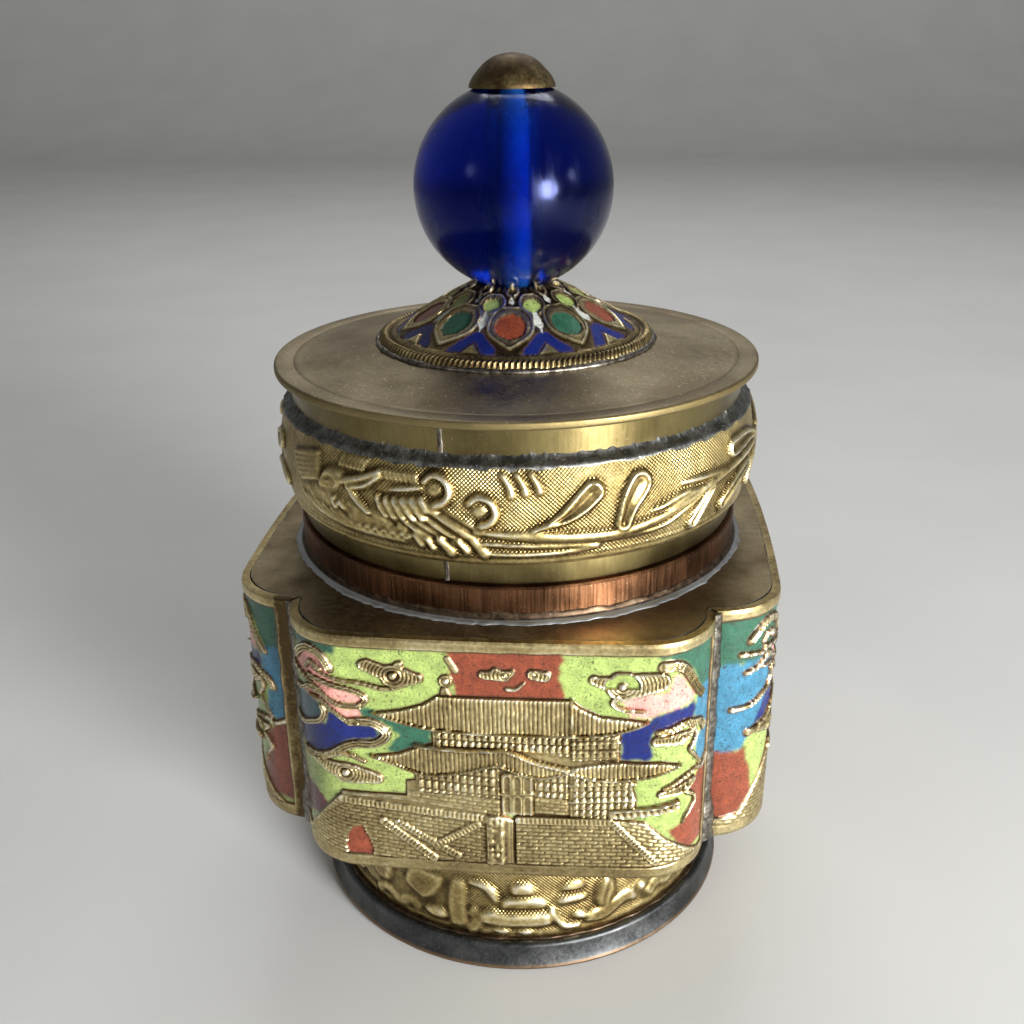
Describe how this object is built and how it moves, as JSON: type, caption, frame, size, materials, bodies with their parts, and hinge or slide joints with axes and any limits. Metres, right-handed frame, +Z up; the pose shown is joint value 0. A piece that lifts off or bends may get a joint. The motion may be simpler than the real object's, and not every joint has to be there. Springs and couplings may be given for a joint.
{
  "type": "champleve enamel tea caddy",
  "caption": "Four-lobed brass tea caddy on a round foot, with enamelled palace panels and a lift-off round lid crowned by a blue glass bead.",
  "frame": {"origin": "middle of the underside, where the foot stands", "axes": "+Z up along the caddy's axis; -Y towards the front panel; +X to the right as seen from the front"},
  "size_m": [0.0784, 0.0784, 0.1267],
  "materials": {
    "cast_brass_and_enamel": "cast brass with sunk opaque enamel fields in lime, red, green, blue, turquoise and pink, worn and tarnished",
    "embossed_brass": "thin embossed brass, bright on the relief and brown in the ground",
    "dark_sheet_brass": "sheet brass with a dark even patina and dust",
    "solder_coated_brass": "brass coated with dull grey soft solder",
    "filed_copper": "copper, filed, brown",
    "cobalt_glass": "clear deep cobalt blue glass, fire polished, lightly scratched",
    "spun_brass": "plain brass, brushed and tarnished"
  },
  "bodies": {
    "root": {"foot_skirt": "solder_coated_brass", "foot_band": "embossed_brass", "base_plate": "dark_sheet_brass", "panel_front": "cast_brass_and_enamel", "panel_right": "cast_brass_and_enamel", "panel_back": "cast_brass_and_enamel", "panel_left": "cast_brass_and_enamel", "shoulder_plate": "dark_sheet_brass", "neck_ring": "filed_copper", "lid_wall": "spun_brass", "lid_band": "embossed_brass", "lid_disc": "dark_sheet_brass", "lid_dome": "cast_brass_and_enamel", "glass_bead": "cobalt_glass", "finial_rod": "spun_brass", "finial_cap": "spun_brass"}
  },
  "joints": []
}
